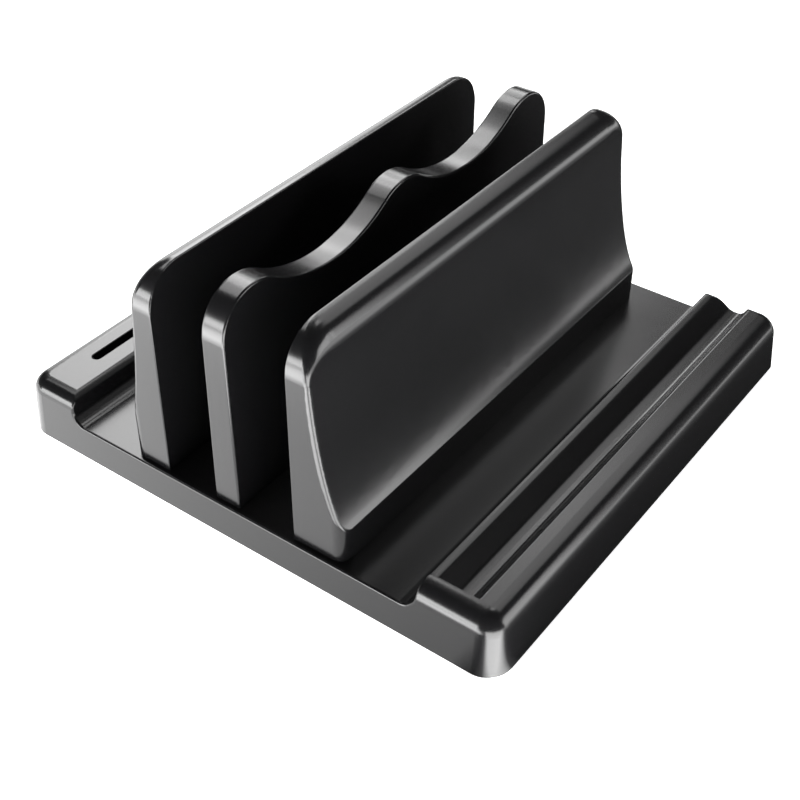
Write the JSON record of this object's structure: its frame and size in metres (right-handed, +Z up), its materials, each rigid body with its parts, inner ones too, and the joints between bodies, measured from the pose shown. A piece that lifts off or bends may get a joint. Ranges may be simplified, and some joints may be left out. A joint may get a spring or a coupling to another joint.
{
  "type": "vertical laptop stand",
  "caption": "Vertical stand that holds laptops on edge between upright dividers, with a phone groove and a card slot in its base.",
  "frame": {"origin": "on the table, under the middle of the base's outline", "axes": "+X to the right along the front, +Y towards the back, +Z up"},
  "size_m": [0.18, 0.175, 0.0835],
  "materials": {
    "base_plastic": "satin black moulded ABS with a low gloss",
    "cover_plastic": "fine matte texture",
    "divider_plastic": "satin black moulded ABS with a low gloss",
    "foot_silicone": "matte dark grey silicone",
    "insert_brass": "knurled brass, moulded in",
    "screw_steel": "zinc-plated steel"
  },
  "bodies": {
    "base": {"base_shell": "base_plastic", "bottom_cover": "cover_plastic", "cover_screw_front_left": "screw_steel", "cover_screw_front_right": "screw_steel", "cover_screw_middle_left": "screw_steel", "cover_screw_middle_right": "screw_steel", "cover_screw_rear_left": "screw_steel", "cover_screw_rear_right": "screw_steel", "foot_front_left": "foot_silicone", "foot_front_right": "foot_silicone", "foot_rear_left": "foot_silicone", "foot_rear_right": "foot_silicone", "middle_divider": "divider_plastic", "middle_insert_front": "insert_brass", "middle_insert_rear": "insert_brass", "middle_screw_front": "screw_steel", "middle_screw_rear": "screw_steel"},
    "left_divider_body": {"left_divider": "divider_plastic", "left_insert_front": "insert_brass", "left_insert_rear": "insert_brass", "left_screw_front": "screw_steel", "left_screw_rear": "screw_steel", "left_washer_front": "screw_steel", "left_washer_rear": "screw_steel"},
    "right_divider_body": {"right_divider": "divider_plastic", "right_insert_front": "insert_brass", "right_insert_rear": "insert_brass", "right_screw_front": "screw_steel", "right_screw_rear": "screw_steel", "right_washer_front": "screw_steel", "right_washer_rear": "screw_steel"}
  },
  "joints": [
    {"name": "left_slide", "type": "slide", "parent": "base", "child": "left_divider_body", "axis": [1, 0, 0], "range_m": [0, 0.01]},
    {"name": "right_slide", "type": "slide", "parent": "base", "child": "right_divider_body", "axis": [-1, 0, 0], "range_m": [0, 0.01]}
  ]
}
